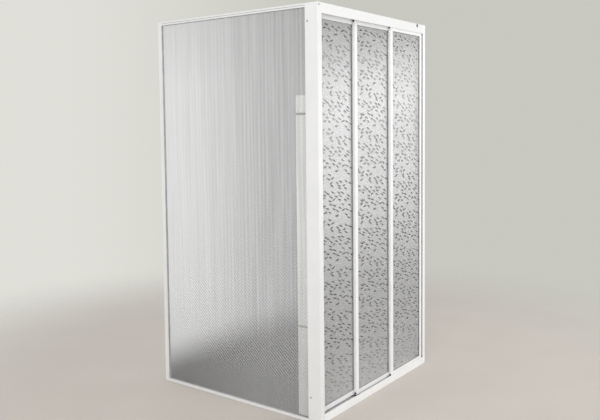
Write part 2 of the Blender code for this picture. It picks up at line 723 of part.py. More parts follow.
def make_splash_strip(kit):
    """Strip behind the fixed pane beside the post, with its two clips and its screws."""
    front = FIXED_FRAME_DEPTH + TOUCH_GAP
    middle_y = (SPLASH_STRIP_START + SPLASH_STRIP_EDGE) / 2
    middle_z = (SPLASH_STRIP_FOOT + SPLASH_STRIP_HEIGHT) / 2
    strip = add_object("splash_strip",
                       box_mesh("splash_strip", SPLASH_STRIP_THICKNESS,
                                SPLASH_STRIP_EDGE - SPLASH_STRIP_START,
                                SPLASH_STRIP_HEIGHT - SPLASH_STRIP_FOOT),
                       (front + SPLASH_STRIP_THICKNESS / 2, middle_y, middle_z),
                       kit["origin"], kit["parts"])
    hole = rod_mesh("hole", SCREW_SHANK_RADIUS + TOUCH_GAP,
                    2 * (SPLASH_STRIP_THICKNESS + CUT_OVERRUN), HEAD_TO_PLUS_X)
    heights = splash_clip_heights()
    hole_places = [at(front, splash_screw_place(), height) for height in heights]
    cut(strip, copies_mesh("splash_strip_holes", hole, hole_places), (0, 0, 0),
        kit["origin"], kit["cutters"])
    dress(strip, kit["white_plastic"])
    clip_start = POST_FIXED_FACE + GASKET_LIP + TOUCH_GAP
    clip_x = front - TOUCH_GAP - SPLASH_CLIP_THICKNESS / 2
    inside = front + SPLASH_STRIP_THICKNESS
    screw_length = SPLASH_STRIP_THICKNESS + TOUCH_GAP + PROFILE_WALL
    for level, height in zip(("lower", "upper"), heights):
        clip_name = "splash_" + level + "_clip"
        clip = add_object(clip_name,
                          box_mesh(clip_name, SPLASH_CLIP_THICKNESS,
                                   SPLASH_STRIP_EDGE - clip_start, SPLASH_CLIP_HEIGHT),
                          (clip_x, (clip_start + SPLASH_STRIP_EDGE) / 2, height),
                          kit["origin"], kit["parts"])
        dress(clip, kit["black"])
        screw_name = "splash_" + level + "_screw"
        screw = add_object(screw_name,
                           screw_mesh(screw_name, SCREW_HEAD_RADIUS, SCREW_HEAD_HEIGHT,
                                      screw_length),
                           (inside, splash_screw_place(), height), kit["origin"], kit["parts"],
                           HEAD_TO_PLUS_X)
        dress(smooth(screw), kit["steel"])


def stile_outlines():
    """Section of a panel's left stile: a hollow chamber and a glazing groove."""
    wall = PANEL_WALL
    groove = STILE_WIDTH - GLAZING_GROOVE_DEPTH
    edge = PROFILE_EDGE_RADIUS
    outer = [
        (0, 0, edge),
        (0, PANEL_THICKNESS, edge),
        (STILE_WIDTH, PANEL_THICKNESS, edge),
        (STILE_WIDTH, PANEL_THICKNESS - wall, 0),
        (groove, PANEL_THICKNESS - wall, 0),
        (groove, wall, 0),
        (STILE_WIDTH, wall, 0),
        (STILE_WIDTH, 0, edge),
    ]
    chamber = plain([
        (wall, wall),
        (groove - wall, wall),
        (groove - wall, PANEL_THICKNESS - wall),
        (wall, PANEL_THICKNESS - wall),
    ])
    return [outer, chamber]


def rail_outlines(height):
    """Section of a panel's bottom rail: a chamber below and a glazing groove above."""
    wall = PANEL_WALL
    groove = height - GLAZING_GROOVE_DEPTH
    edge = PROFILE_EDGE_RADIUS
    outer = [
        (0, 0, edge),
        (PANEL_THICKNESS, 0, edge),
        (PANEL_THICKNESS, height, edge),
        (PANEL_THICKNESS - wall, height, 0),
        (PANEL_THICKNESS - wall, groove, 0),
        (wall, groove, 0),
        (wall, height, 0),
        (0, height, edge),
    ]
    chamber = plain([
        (wall, wall),
        (wall, groove - wall),
        (PANEL_THICKNESS - wall, groove - wall),
        (PANEL_THICKNESS - wall, wall),
    ])
    return [outer, chamber]


def chamber_middle(height):
    """Height of the middle of a rail's chamber above the rail's plain edge."""
    return (height - GLAZING_GROOVE_DEPTH) / 2


def corner_screw_heights():
    """Heights of a panel's corner screws above its foot."""
    return (chamber_middle(PANEL_BOTTOM_RAIL_HEIGHT),
            PANEL_HEIGHT - chamber_middle(PANEL_TOP_RAIL_HEIGHT))


def mirrored(outline, width):
    """The outline seen in a mirror across the middle of a panel."""
    return [(width - x, y, radius) for x, y, radius in outline]


def make_panel_frame(kit, name, empty):
    """Stiles and rails of one sliding panel."""
    hole = rod_mesh("hole", SCREW_SHANK_RADIUS + TOUCH_GAP,
                    2 * (STILE_WIDTH + CUT_OVERRUN), HEAD_TO_PLUS_X)
    left_outlines = stile_outlines()
    right_outlines = [mirrored(outline, PANEL_WIDTH) for outline in left_outlines]
    for side, outlines, edge_x in (("left", left_outlines, 0), ("right", right_outlines, PANEL_WIDTH)):
        stile_name = name + "_" + side + "_stile"
        stile = add_object(stile_name, extruded_mesh(stile_name, outlines, PANEL_HEIGHT),
                           (0, 0, PANEL_HEIGHT / 2), empty, kit["parts"])
        places = [at(edge_x, PANEL_THICKNESS / 2, height) for height in corner_screw_heights()]
        # The holes run out into the chamber, and the manifold solver keeps that edge closed
        cut(stile, copies_mesh(stile_name + "_holes", hole, places), (0, 0, 0),
            empty, kit["cutters"], solver="MANIFOLD")
        dress(stile, kit["white"])
    length = PANEL_WIDTH - 2 * (STILE_WIDTH + TOUCH_GAP)
    bottom = add_object(name + "_bottom_rail",
                        extruded_mesh(name + "_bottom_rail",
                                      rail_outlines(PANEL_BOTTOM_RAIL_HEIGHT), length),
                        (PANEL_WIDTH / 2, 0, 0), empty, kit["parts"], ACROSS_X)
    dress(bottom, kit["white"])
    top_outlines = [
        [(x, PANEL_HEIGHT - y, radius) for x, y, radius in outline]
        for outline in rail_outlines(PANEL_TOP_RAIL_HEIGHT)
    ]
    top = add_object(name + "_top_rail",
                     extruded_mesh(name + "_top_rail", top_outlines, length),
                     (PANEL_WIDTH / 2, 0, 0), empty, kit["parts"], ACROSS_X)
    dress(top, kit["white"])


def make_panel_glazing(kit, name, empty):
    """Pane of one sliding panel, with the rubber round its edge."""
    left = STILE_WIDTH - PANEL_GLASS_COVER
    right = PANEL_WIDTH - left
    foot = PANEL_BOTTOM_RAIL_HEIGHT - PANEL_GLASS_COVER
    top = PANEL_HEIGHT - PANEL_TOP_RAIL_HEIGHT + PANEL_GLASS_COVER
    middle = ((left + right) / 2, PANEL_THICKNESS / 2, (foot + top) / 2)
    pane = add_object(name + "_glass",
                      box_mesh(name + "_glass", right - left, PANEL_GLASS_THICKNESS, top - foot),
                      middle, empty, kit["parts"])
    dress(pane, kit["door_glass"])
    outer = (left - GASKET_WRAP, foot - GASKET_WRAP, right + GASKET_WRAP, top + GASKET_WRAP)
    inner = (STILE_WIDTH + GASKET_LIP, PANEL_BOTTOM_RAIL_HEIGHT + GASKET_LIP,
             PANEL_WIDTH - STILE_WIDTH - GASKET_LIP,
             PANEL_HEIGHT - PANEL_TOP_RAIL_HEIGHT - GASKET_LIP)
    thickness = PANEL_THICKNESS - 2 * (PANEL_WALL + TOUCH_GAP)
    gasket = add_object(name + "_gasket",
                        extruded_mesh(name + "_gasket", ring_outlines(outer, inner), thickness),
                        (0, PANEL_THICKNESS / 2, 0), empty, kit["parts"], ACROSS_Y)
    slot = box_mesh(name + "_gasket_slot", right - left + 2 * TOUCH_GAP,
                    PANEL_GLASS_THICKNESS + 2 * TOUCH_GAP, top - foot + 2 * TOUCH_GAP)
    cut(gasket, slot, middle, empty, kit["cutters"])
    dress(gasket, kit["rubber"])


def hanger_places():
    """Middles of a panel's two hangers along its width."""
    return (HANGER_INSET, PANEL_WIDTH - HANGER_INSET)


def make_panel_hangers(kit, name, empty):
    """Two bent steel hangers on the top rail, each with its riveted axle and a nylon wheel."""
    foot = PANEL_HEIGHT + TOUCH_GAP
    axle_z = AXLE_HEIGHT - PANEL_FLOOR_GAP
    outline = plain([
        (HANGER_FRONT, foot),
        (HANGER_FRONT + HANGER_FOOT_DEPTH, foot),
        (HANGER_FRONT + HANGER_FOOT_DEPTH, foot + HANGER_THICKNESS),
        (HANGER_BACK, foot + HANGER_THICKNESS),
        (HANGER_BACK, axle_z + HANGER_TOP_MARGIN),
        (HANGER_FRONT, axle_z + HANGER_TOP_MARGIN),
    ])
    axle_end = DIVIDER_FRONT - WHEEL_SIDE_GAP
    for side, x in zip(("left", "right"), hanger_places()):
        hanger_name = name + "_" + side + "_hanger"
        hanger = add_object(hanger_name, extruded_mesh(hanger_name, [outline], HANGER_WIDTH),
                            (x, 0, 0), empty, kit["parts"], ACROSS_X)
        axle = lathe_mesh("axle", [
            (0, AXLE_HEAD_THICKNESS),
            (AXLE_HEAD_RADIUS, AXLE_HEAD_THICKNESS),
            (AXLE_HEAD_RADIUS, -TOUCH_GAP),
            (AXLE_RADIUS, -TOUCH_GAP),
            (AXLE_RADIUS, HANGER_FRONT - axle_end),
            (0, HANGER_FRONT - axle_end),
        ], ROUND_STEPS)
        axle.transform(turned(HEAD_TO_MINUS_Y))
        combine(hanger, "UNION", axle, (x, HANGER_FRONT, axle_z), empty, kit["cutters"])
        dress(hanger, kit["steel"])

    half = WHEEL_WIDTH / 2
    bore = AXLE_RADIUS + WHEEL_BORE_GAP
    for side, x in zip(("left", "right"), hanger_places()):
        wheel_name = name + "_" + side + "_wheel"
        wheel_shape = lathe_mesh(wheel_name, [
            (bore, half),
            (WHEEL_RADIUS - WHEEL_EDGE, half),
            (WHEEL_RADIUS, half - WHEEL_EDGE),
            (WHEEL_RADIUS, WHEEL_EDGE - half),
            (WHEEL_RADIUS - WHEEL_EDGE, -half),
            (bore, -half),
        ], ROUND_STEPS, closed=True)
        wheel = add_object(wheel_name, wheel_shape, (x, WHEEL_MIDDLE, axle_z), empty,
                           kit["parts"], HEAD_TO_MINUS_Y)
        dress(smooth(wheel), kit["nylon"])


def make_panel_guides(kit, name, empty):
    """Nylon guides, each with a peg that plugs into the open foot of a stile."""
    radius = GUIDE_CORNER_RADIUS
    end = GUIDE_END_INSET + GUIDE_LENGTH
    peg_left = PANEL_WALL + TOUCH_GAP
    peg_right = STILE_WIDTH - GLAZING_GROOVE_DEPTH - PANEL_WALL - TOUCH_GAP
    left = [
        (GUIDE_END_INSET, -GUIDE_DROP, radius),
        (end, -GUIDE_DROP, radius),
        (end, -TOUCH_GAP, 0),
        (peg_right, -TOUCH_GAP, 0),
        (peg_right, GUIDE_PEG_HEIGHT, 0),
        (peg_left, GUIDE_PEG_HEIGHT, 0),
        (peg_left, -TOUCH_GAP, 0),
        (GUIDE_END_INSET, -TOUCH_GAP, 0),
    ]
    for side, outline in (("left", left), ("right", mirrored(left, PANEL_WIDTH))):
        guide_name = name + "_" + side + "_guide"
        guide = add_object(guide_name, extruded_mesh(guide_name, [outline], GUIDE_THICKNESS),
                           (0, PANEL_THICKNESS / 2, 0), empty, kit["parts"], ACROSS_Y)
        dress(guide, kit["black"])


def make_panel(kit, number):
    """One sliding panel on its own empty, which stands on the line that it slides along."""
    name = "door_" + str(number)
    empty = bpy.data.objects.new(name + "_slide", None)
    empty.location = (panel_left(number), lane_front(number), PANEL_FLOOR_GAP)
    empty.parent = kit["origin"]
    kit["parts"].objects.link(empty)
    make_panel_frame(kit, name, empty)
    make_panel_glazing(kit, name, empty)
    make_panel_hangers(kit, name, empty)
    make_panel_guides(kit, name, empty)


def build_screen():
    """Build the whole screen about its own middle, standing on Z = 0."""
    clear_scene()
    parts = new_collection("shower_screen")
    cutters = new_collection("cutters")
    origin = bpy.data.objects.new("screen_corner", None)
    origin.location = ((SCREW_HEAD_HEIGHT - DOOR_SIDE_WIDTH) / 2,
                       (SCREW_HEAD_HEIGHT - FIXED_SIDE_WIDTH) / 2, 0)
    parts.objects.link(origin)
    kit = {
        "parts": parts,
        "cutters": cutters,
        "origin": origin,
        "white": finish("white_coating", (0.86, 0.87, 0.87), 0.32, 0.0),
        "white_plastic": finish("white_plastic", (0.78, 0.79, 0.78), 0.45, 0.0),
        "fixed_glass": finish("fixed_glass", (0.62, 0.65, 0.66), 0.30, 0.0),
        "door_glass": finish("door_glass", (0.48, 0.50, 0.51), 0.22, 0.0),
        "rubber": finish("rubber", (0.03, 0.03, 0.035), 0.75, 0.0),
        "black": finish("black_plastic", (0.02, 0.02, 0.022), 0.45, 0.0),
        "nylon": finish("nylon", (0.80, 0.79, 0.74), 0.50, 0.0),
        "steel": finish("steel", (0.60, 0.60, 0.59), 0.35, 1.0),
    }
    make_corner_post(kit)
    make_header_rail(kit)
    make_sill_track(kit)
    make_door_wall_jamb(kit)
    make_seals(kit)
    make_header_blocks(kit)
    make_fixed_frame(kit)
    make_fixed_glazing(kit)
    make_post_screws(kit)
    make_splash_strip(kit)
    for number in range(1, PANEL_COUNT + 1):
        make_panel(kit, number)


build_screen()
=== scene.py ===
"""Looks of the corner shower screen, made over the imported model. Lengths are in metres."""

import math

import bpy
import numpy as np
from mathutils import Matrix, Vector


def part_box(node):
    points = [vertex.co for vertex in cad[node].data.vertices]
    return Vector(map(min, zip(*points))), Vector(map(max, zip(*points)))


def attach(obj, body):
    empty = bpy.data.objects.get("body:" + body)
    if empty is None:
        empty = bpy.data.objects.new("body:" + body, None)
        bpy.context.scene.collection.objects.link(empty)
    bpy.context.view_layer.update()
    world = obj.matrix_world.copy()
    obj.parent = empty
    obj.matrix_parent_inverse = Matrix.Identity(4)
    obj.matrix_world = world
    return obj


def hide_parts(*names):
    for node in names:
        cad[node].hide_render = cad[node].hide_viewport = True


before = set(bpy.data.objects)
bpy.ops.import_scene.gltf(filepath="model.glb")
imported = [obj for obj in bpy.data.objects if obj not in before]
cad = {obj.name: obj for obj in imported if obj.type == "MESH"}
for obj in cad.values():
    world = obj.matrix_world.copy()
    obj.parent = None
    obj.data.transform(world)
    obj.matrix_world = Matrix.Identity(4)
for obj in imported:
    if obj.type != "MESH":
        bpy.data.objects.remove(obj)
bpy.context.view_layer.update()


# Corner post, header, sill, jambs and fixed rails
# Extruded aluminium, cut to length and screwed together, with a white satin powder coat: a very
# fine orange peel, drawn lines under it, a little dust towards the floor, and soft corners.
def grey(level):
    """A neutral colour."""
    return (level, level, level, 1.0)


COAT_COLOUR = (0.85, 0.85, 0.845, 1.0)
# Painted light: a brighter copy of the coat, lifting the shade in the recesses of the sill, the
# door-side jamb and the sliding panels.
PAINTED_LIGHT_COAT_COLOUR = (0.93, 0.93, 0.925, 1.0)
TOP_RAIL_COLOUR = (0.84, 0.84, 0.835, 1.0)
COAT_CLOUD_COLOUR = (0.55, 0.56, 0.56, 1.0)
COAT_DUST_COLOUR = (0.66, 0.64, 0.60, 1.0)
COAT_DUST_TOP = 0.30
COAT_PEEL_DEPTH = 0.00006
COAT_CORNER = 0.0008
GROOVE_SHADE_COLOUR = grey(0.34)
GROOVE_HEIGHT = 1.8215
GROOVE_FLOOR = 0.0009
GROOVE_BRIM = 0.0014


class Socket:
    """An output of a material's node; arithmetic on it adds Math nodes."""

    def __init__(self, recipe, output):
        self.recipe = recipe
        self.output = output

    def math(self, operation, *values):
        """One Math node on these values, any of which may be a plain number."""
        return self.recipe.node("ShaderNodeMath", {"operation": operation},
                                dict(enumerate(values)))

    def __add__(self, other):
        return self.math("ADD", self, other)

    def __radd__(self, other):
        return self.math("ADD", other, self)

    def __sub__(self, other):
        return self.math("SUBTRACT", self, other)

    def __rsub__(self, other):
        return self.math("SUBTRACT", other, self)

    def __mul__(self, other):
        return self.math("MULTIPLY", self, other)

    def __rmul__(self, other):
        return self.math("MULTIPLY", other, self)

    def __pow__(self, other):
        return self.math("POWER", self, other)

    def __rpow__(self, other):
        return self.math("POWER", other, self)

    def __abs__(self):
        return self.math("ABSOLUTE", self)

    def sine(self):
        """The sine of an angle in radians."""
        return self.math("SINE", self)

    def or_more(self, other):
        """The larger of this value and another."""
        return self.math("MAXIMUM", self, other)


class Recipe:
    """A material and the nodes that mix it."""

    def __init__(self, name):
        self.material = bpy.data.materials.new(name)
        self.material.use_nodes = True
        self.tree = self.material.node_tree
        self.tree.nodes.clear()

    def node(self, kind, settings, sockets, output=0):
        """Any node: its settings are set first, then its sockets are set or linked."""
        made = self.tree.nodes.new(kind)
        for name, value in settings.items():
            setattr(made, name, value)
        for name, value in sockets.items():
            if isinstance(value, Socket):
                self.tree.links.new(value.output, made.inputs[name])
            else:
                made.inputs[name].default_value = value
        return Socket(self, made.outputs[output])

    def place(self):
        """The point on the piece, in metres."""
        return self.node("ShaderNodeTexCoord", {}, {}, "Object")

    def axis(self, point, name):
        """One coordinate of a point."""
        return self.node("ShaderNodeSeparateXYZ", {}, {0: point}, name)

    def scaled(self, point, scales):
        """The point with each axis times its own scale."""
        return self.node("ShaderNodeMapping", {}, {"Vector": point, "Scale": scales})

    def noise(self, point, scale, detail=2.0):
        """Plain noise, about 0.5 in the middle."""
        return self.node("ShaderNodeTexNoise", {},
                         {"Vector": point, "Scale": scale, "Detail": detail}, "Fac")

    def step(self, value, low, high):
        """Rises smoothly from 0 to 1 as the value goes from low to high."""
        return self.node("ShaderNodeMapRange", {"interpolation_type": "SMOOTHSTEP"},
                         {"Value": value, "From Min": low, "From Max": high})

    def tint(self, share, first, second):
        """The colour that is this share of the way from the first to the second."""
        return self.node("ShaderNodeMix", {"data_type": "RGBA"},
                         {0: share, 6: first, 7: second}, 2)

    def ray(self, kind):
        """1 for rays of this kind, else 0."""
        return self.node("ShaderNodeLightPath", {}, {}, kind)

    def bump(self, height, depth, strength=1.0, edge=0.0):
        """A normal tilted by a height field, whose full step is the depth in metres. The
        corners of the piece look rounded by the edge radius."""
        sockets = {"Height": height, "Distance": depth, "Strength": strength}
        if edge:
            sockets["Normal"] = self.node("ShaderNodeBevel", {"samples": 6}, {"Radius": edge})
        return self.node("ShaderNodeBump", {}, sockets)

    def principled(self, sockets):
        """The shader of a solid surface, with these sockets."""
        return self.node("ShaderNodeBsdfPrincipled", {}, sockets)

    def mixed(self, share, first, second):
        """The shader that is this share of the way from the first to the second."""
        return self.node("ShaderNodeMixShader", {}, {0: share, 1: first, 2: second})

    def finish(self, surface):
        """Plug a shader into the output and hand the material over."""
        output = self.tree.nodes.new("ShaderNodeOutputMaterial")
        self.tree.links.new(surface.output, output.inputs["Surface"])
        return self.material


def dress(piece, material):
    """Give a piece one material."""
    piece.data.materials.clear()
    piece.data.materials.append(material)


def dress_nodes(names, material):
    """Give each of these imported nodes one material."""
    for name in names:
        dress(cad[name], material)


def white_coating(name, clean, groove=None):
    """The coat, and where a height is given, a fine grey line along the piece at that height: the
    painted shade of a groove, which the shape doesn't have.
    """
    recipe = Recipe(name)
    point = recipe.place()
    height = recipe.axis(point, "Z")
    cloud = recipe.noise(point, scale=9.0, detail=3.0)
    drawn = recipe.noise(recipe.scaled(point, (60.0, 60.0, 1.2)), scale=1.0)
    low_down = 1.0 - recipe.step(height, 0.0, COAT_DUST_TOP)
    dust = recipe.noise(point, scale=55.0, detail=4.0) * low_down
    shade = recipe.tint(recipe.step(cloud, 0.35, 0.75) * 0.10, clean, COAT_CLOUD_COLOUR)
    if groove:
        # Painted shade: the grey line stands for the shade inside a groove.
        cut = 1.0 - recipe.step(abs(height - groove), GROOVE_FLOOR, GROOVE_BRIM)
        shade = recipe.tint(cut, shade, GROOVE_SHADE_COLOUR)
    shade = recipe.tint(recipe.step(dust, 0.42, 0.75) * 0.14, shade, COAT_DUST_COLOUR)
    peel = recipe.noise(point, scale=900.0, detail=1.0) * 0.6 + drawn * 0.4
    roughness = 0.30 + recipe.step(cloud, 0.3, 0.8) * 0.08 + recipe.step(dust, 0.4, 0.7) * 0.15
    return recipe.finish(recipe.principled({
        "Base Color": shade,
        "Roughness": roughness,
        "Normal": recipe.bump(peel, COAT_PEEL_DEPTH, 0.35, COAT_CORNER),
        "Specular IOR Level": 0.5,
    }))


dress_nodes(("corner_post", "header_rail", "fixed_bottom_rail", "fixed_wall_jamb"),
            white_coating("white_coat", COAT_COLOUR))
# Painted light: the brighter copy of the coat, for the sill, the door-side jamb and the panels'
# stiles and rails.
painted_light_coating = white_coating("white_painted_light_coat", PAINTED_LIGHT_COAT_COLOUR)
dress_nodes(("sill_track", "door_wall_jamb"), painted_light_coating)
dress_nodes(("fixed_top_rail",),
            white_coating("white_groove_shade_coat", TOP_RAIL_COLOUR, GROOVE_HEIGHT))


# Seals, gaskets and setting blocks
# Extruded rubber, matt, faintly mottled, with the fine lines of the die along its length. It is
# black under the fixed pane, pale round that pane, and grey in the two seals, which are pressed
# into their channels, with painted shade at their feet and heads for the dark gaps there.
BLOCK_COLOUR = (0.040, 0.040, 0.042, 1.0)
BLOCK_WORN_COLOUR = (0.095, 0.095, 0.097, 1.0)
SEAL_END_SHADE_COLOUR = grey(0.05)
SEAL_END_SHADE_FOOT = 0.055
SEAL_END_SHADE_HEAD = 1.770
SEAL_END_SHADE_FADE = 0.012
RUBBER_LINE_DEPTH = 0.00008


def extruded_rubber(name, clean, worn, end_shade=False):
    """Rubber that goes from clean to worn in patches, with painted shade at both ends if it has
    any, for the dark gaps there.
    """
    recipe = Recipe(name)
    point = recipe.place()
    mottle = recipe.noise(point, scale=40.0, detail=3.0)
    lines = recipe.noise(recipe.scaled(point, (900.0, 900.0, 12.0)), scale=1.0, detail=1.0)
    shade = recipe.tint(recipe.step(mottle, 0.3, 0.8), clean, worn)
    if end_shade:
        height = recipe.axis(point, "Z")
        # Painted shade: dark at both ends, where the seal meets dark gaps.
        clear = (recipe.step(height, SEAL_END_SHADE_FOOT - SEAL_END_SHADE_FADE, SEAL_END_SHADE_FOOT)
                 - recipe.step(height, SEAL_END_SHADE_HEAD, SEAL_END_SHADE_HEAD + SEAL_END_SHADE_FADE))
        shade = recipe.tint(clear, SEAL_END_SHADE_COLOUR, shade)
    return recipe.finish(recipe.principled({
        "Base Color": shade,
        "Roughness": 0.62 + mottle * 0.2,
        "Normal": recipe.bump(lines, RUBBER_LINE_DEPTH, 0.5),
        "Specular IOR Level": 0.3,
    }))


dress_nodes(("setting_block_post", "setting_block_wall"),
            extruded_rubber("black_rubber", BLOCK_COLOUR, BLOCK_WORN_COLOUR))
dress_nodes(("fixed_gasket",), extruded_rubber("pale_rubber", grey(0.46), grey(0.36)))
dress_nodes(("post_door_seal", "jamb_door_seal"),
            extruded_rubber("grey_rubber", grey(0.34), grey(0.27), end_shade=True))


# Splash strip and the blocks inside the header
# Moulded white plastic, softer and a little warmer than the coating, with a faint grain. Clips
# hold the strip, and the blocks plug into the header's two ends.
PLASTIC_COLOUR = (0.90, 0.90, 0.89, 1.0)
PLASTIC_CLOUD_COLOUR = (0.84, 0.84, 0.83, 1.0)
PLASTIC_GRAIN_DEPTH = 0.00005


def white_plastic():
    """White plastic with a soft cloud in its colour and gloss."""
    recipe = Recipe("white_plastic")
    point = recipe.place()
    cloud = recipe.noise(point, scale=14.0)
    grain = recipe.noise(point, scale=1400.0)
    return recipe.finish(recipe.principled({
        "Base Color": recipe.tint(cloud, PLASTIC_COLOUR, PLASTIC_CLOUD_COLOUR),
        "Roughness": 0.42 + cloud * 0.12,
        "Normal": recipe.bump(grain, PLASTIC_GRAIN_DEPTH, 0.4),
    }))


dress_nodes(("splash_strip", "header_left_block", "header_right_block"), white_plastic())


# Clips of the splash strip
# Nylon mouldings, satin, with a light haze of wear: a grey one at the top, where it shows as a
# dark line through the pane, and a paler one low down. Each is held by one screw.
UPPER_CLIP_COLOUR = grey(0.26)
UPPER_CLIP_WORN_COLOUR = grey(0.34)
LOWER_CLIP_COLOUR = (0.50, 0.50, 0.49, 1.0)
LOWER_CLIP_WORN_COLOUR = (0.40, 0.40, 0.39, 1.0)
NYLON_GRAIN_DEPTH = 0.00004


def satin_nylon(name, clean, worn):
    """Nylon that goes from clean to worn in a fine haze."""
    recipe = Recipe(name)
    point = recipe.place()
    haze = recipe.noise(point, scale=120.0, detail=4.0)
    grain = recipe.noise(point, scale=1500.0, detail=1.0)
    return recipe.finish(recipe.principled({
        "Base Color": recipe.tint(recipe.step(haze, 0.45, 0.8), clean, worn),
        "Roughness": 0.38 + recipe.step(haze, 0.4, 0.9) * 0.2,
        "Normal": recipe.bump(grain, NYLON_GRAIN_DEPTH, 0.4),
    }))


dress_nodes(("splash_upper_clip",),
            satin_nylon("grey_nylon", UPPER_CLIP_COLOUR, UPPER_CLIP_WORN_COLOUR))
dress_nodes(("splash_lower_clip",),
            satin_nylon("pale_nylon", LOWER_CLIP_COLOUR, LOWER_CLIP_WORN_COLOUR))


# Screws of the post, the header and the splash strip
# Steel pan heads: dull zinc at the post, a dark oxide finish at the far end of the header and
# on the splash strip.
ZINC_COLOUR = grey(0.36)
ZINC_STAIN_COLOUR = (0.20, 0.20, 0.19, 1.0)
OXIDE_COLOUR = (0.050, 0.050, 0.052, 1.0)
OXIDE_STAIN_COLOUR = (0.17, 0.165, 0.155, 1.0)
STEEL_GRAIN_DEPTH = 0.00003


def plated_steel(name, clean, stained):
    """Bare metal that goes from clean to stained in small spots."""
    recipe = Recipe(name)
    point = recipe.place()
    stain = recipe.noise(point, scale=260.0, detail=4.0)
    grain = recipe.noise(point, scale=2500.0)
    return recipe.finish(recipe.principled({
        "Base Color": recipe.tint(recipe.step(stain, 0.4, 0.8), clean, stained),
        "Metallic": 1.0,
        "Roughness": 0.28 + stain * 0.25,
        "Normal": recipe.bump(grain, STEEL_GRAIN_DEPTH, 0.5),
    }))


dress_nodes(("header_left_screw", "post_lower_screw", "post_upper_screw"),
            plated_steel("dull_steel", ZINC_COLOUR, ZINC_STAIN_COLOUR))
dress_nodes(("header_right_screw", "splash_lower_screw", "splash_upper_screw"),
            plated_steel("dark_steel", OXIDE_COLOUR, OXIDE_STAIN_COLOUR))


# Fixed pane
# Clear sheet with a prismatic lattice pressed into its outer face: low diamonds in rows, a
# little hazed by water. It stands in the rubber of the rails and the jamb.
FIXED_CELL_WIDTH = 0.0189
FIXED_CELL_HEIGHT = 0.0168
FIXED_COLUMN_WIDTH = 0.0215
FIXED_RELIEF = 0.00010
FIXED_ROUGHNESS = 0.06
FIXED_PAINTED_LIGHT_COLOUR = grey(0.945)
FIXED_HIGH_PAINTED_SHADE_COLOUR = grey(0.78)
FIXED_LOW_PAINTED_SHADE_COLOUR = grey(0.72)
FIXED_FOOT_PAINTED_SHADE_COLOUR = grey(0.58)
FIXED_PRESSED_HEIGHTS = (0.11, 0.25)
FIXED_FOOT_HEIGHTS = (0.20, 0.55)
FIXED_LOW_HEIGHTS = (0.35, 1.0)
FIXED_NEAR_POST_SPAN = (-0.40, 0.30)
SHEET_IOR = 1.49
SHEET_SPECULAR = 0.2
MILKY_ROUGHNESS = 0.35
CROSSING_SHARE = 0.96
CROSSING_COLOUR = grey(0.96)
FULL_TURN = 2 * math.pi


def obscure_glass(recipe, roughness, haze, surface):
    """Glass that is partly clear and partly milky, by its haze. Light crosses it on its way in:
    part of each shadow ray goes through. The surface holds the sockets that both parts share."""
    clear = recipe.principled({
        **surface,
        "Roughness": roughness,
        "IOR": SHEET_IOR,
        "Specular IOR Level": SHEET_SPECULAR,
        "Transmission Weight": 1.0,
    })
    milky = recipe.principled({
        **surface,
        "Roughness": MILKY_ROUGHNESS,
        "Specular IOR Level": SHEET_SPECULAR,
    })
    through = recipe.node("ShaderNodeBsdfTransparent", {}, {"Color": CROSSING_COLOUR})
    crossing = recipe.ray("Is Shadow Ray") * CROSSING_SHARE
    return recipe.finish(recipe.mixed(crossing, recipe.mixed(haze, clear, milky), through))


def fixed_lattice_glass():
    """The marks are painted light and shade that stand in for the lattice's refraction: a sine
    wave across the diamonds, a wider one and long streaks up the sheet. They turn the colour from
    painted shade to painted light, each is strongest where the photograph has it, and towards the
    foot the colour is painted darker still."""
    recipe = Recipe("lattice_glass")
    point = recipe.place()
    along = recipe.axis(point, "Y")
    height = recipe.axis(point, "Z")
    wander = recipe.noise(recipe.scaled(point, (1.0, 3.0, 0.9)), scale=1.0) * 5.0
    diagonal = (height * (FULL_TURN / FIXED_CELL_HEIGHT) - along * (FULL_TURN / FIXED_CELL_WIDTH)
                + wander * 0.3)
    diagonal_wave = diagonal.sine()
    column_wave = (along * (FULL_TURN / FIXED_COLUMN_WIDTH) + wander).sine()
    streak = recipe.noise(recipe.scaled(point, (1.0, 105.0, 1.6)), scale=1.0) - 0.5
    low_part = 1.0 - recipe.step(height, *FIXED_LOW_HEIGHTS)
    foot = 1.0 - recipe.step(height, *FIXED_FOOT_HEIGHTS)
    near_post = 1.0 - recipe.step(along, *FIXED_NEAR_POST_SPAN)
    pressed = 0.1 + recipe.step(height, *FIXED_PRESSED_HEIGHTS) * 0.9
    # Painted light and shade: the lattice's refraction, strongest low down and near the post.
    marks = (diagonal_wave * (0.20 + near_post * 0.30 + low_part * 0.80) * pressed
             + (column_wave * 0.4 + streak * 4.5) * (0.30 + near_post * 0.75) * (1.0 - foot * 0.9))
    lit = recipe.step(marks, -0.9, 0.9)
    painted_shade = recipe.tint(low_part, FIXED_HIGH_PAINTED_SHADE_COLOUR, FIXED_LOW_PAINTED_SHADE_COLOUR)
    # Painted shade: the colour is darker towards the foot.
    painted_shade = recipe.tint(foot, painted_shade, FIXED_FOOT_PAINTED_SHADE_COLOUR)
    shade = recipe.tint(lit, painted_shade, FIXED_PAINTED_LIGHT_COLOUR)
    haze = 0.12 + (lit - 0.5) * foot * 0.16
    return obscure_glass(recipe, FIXED_ROUGHNESS, haze, {"Base Color": shade})


def new_piece(name, points, faces):
    """A piece whose mesh has these points and faces."""
    mesh = bpy.data.meshes.new(name)
    mesh.from_pydata(points, [], faces)
    mesh.update()
    piece = bpy.data.objects.new(name, mesh)
    bpy.context.scene.collection.objects.link(piece)
    return piece


def smooth_under(piece, degrees):
    """Smooth shading, but for the edges where faces meet at more than this angle."""
    piece.data.shade_smooth()
    piece.data.set_sharp_from_angle(angle=math.radians(degrees))


def grid_quads(number):
    """The quads of a grid of numbered points."""
    return np.stack([number[:-1, :-1], number[:-1, 1:], number[1:, 1:], number[1:, :-1]],
                    axis=-1).reshape(-1, 4)


